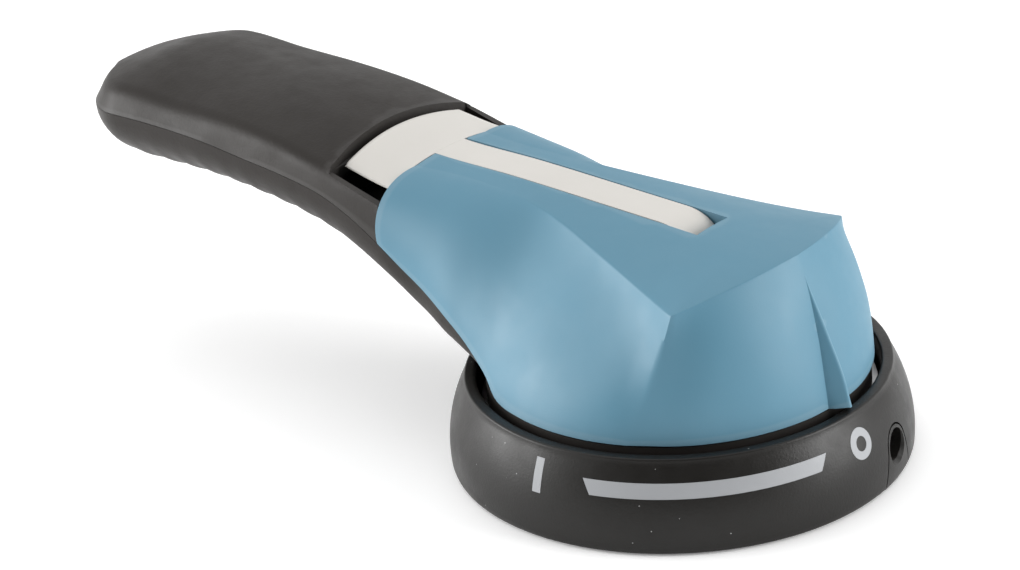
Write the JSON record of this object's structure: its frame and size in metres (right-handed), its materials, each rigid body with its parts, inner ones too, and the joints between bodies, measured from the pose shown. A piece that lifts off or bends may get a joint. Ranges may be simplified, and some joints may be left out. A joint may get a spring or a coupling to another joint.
{
  "type": "rotary door handle for a manual transfer switch",
  "caption": "Rotary door handle for a transfer switch: round escutcheon, raised grip, blue pointer cover, flush lever that locks it with a padlock.",
  "frame": {"origin": "on the shaft's axis, in the plane of the escutcheon's underside, where it meets the door", "axes": "+Z out of the door along the shaft, +X towards the handle's pointer in the OFF position, -X along the grip; the handle is symmetric about Y = 0, the escutcheon only up to its release port and marks"},
  "size_m": [0.1681, 0.0784, 0.0506],
  "materials": {
    "ring_plastic": "fine matt texture",
    "grip_plastic": "fine matt texture",
    "cover_plastic": "smooth satin",
    "lever_plastic": "smooth satin",
    "seal_rubber": "moulded rubber",
    "steel": "zinc plated",
    "brass": "machined",
    "zinc": "die cast"
  },
  "bodies": {
    "base": {"base_ring": "ring_plastic", "door_gasket": "seal_rubber", "threaded_insert_1": "brass", "threaded_insert_2": "brass", "threaded_insert_3": "brass", "threaded_insert_4": "brass", "lock_plate": "steel", "lock_plate_screw_1": "steel", "lock_plate_screw_2": "steel", "lock_plate_screw_3": "steel", "port_insert": "ring_plastic"},
    "handle": {"handle_body": "grip_plastic", "grip_lower_shell": "grip_plastic", "top_cover": "cover_plastic", "shaft_socket": "zinc", "hub_seal": "seal_rubber", "retaining_ring": "steel", "lever_pivot_pin": "steel", "cover_screw_1": "steel", "cover_screw_2": "steel", "cover_screw_3": "steel", "cover_screw_4": "steel", "grip_screw_1": "steel", "grip_screw_2": "steel", "bolt_bush": "brass", "bolt_spring": "steel"},
    "lever": {"lock_lever": "lever_plastic"},
    "bolt": {"lock_bolt": "steel", "bolt_pin": "steel"},
    "interlock": {"interlock_slide": "steel"}
  },
  "joints": [
    {"name": "handle_turn", "type": "hinge", "parent": "base", "child": "handle", "pos_m": [0, 0, 0], "axis": [0, 0, 1], "range_deg": [-90, 0]},
    {"name": "lever_lift", "type": "hinge", "parent": "handle", "child": "lever", "pos_m": [0.003, 0, 0.036], "axis": [0, 1, 0], "range_deg": [0, 16], "stiffness_Nm_per_rad": 0.06, "springref_deg": -17.19},
    {"name": "bolt_drop", "type": "slide", "parent": "handle", "child": "bolt", "axis": [0, 0, -1], "range_m": [0, 0.0049], "deforming": ["bolt_spring"]},
    {"name": "interlock_push", "type": "slide", "parent": "base", "child": "interlock", "axis": [-0.9736, -0.2283, 0], "range_m": [0, 0.003], "stiffness_N_per_m": 300, "springref_m": -0.001}
  ],
  "couplings": [
    {"joint": "bolt_drop", "follows": "lever_lift", "m_per_rad": 0.0173}
  ]
}
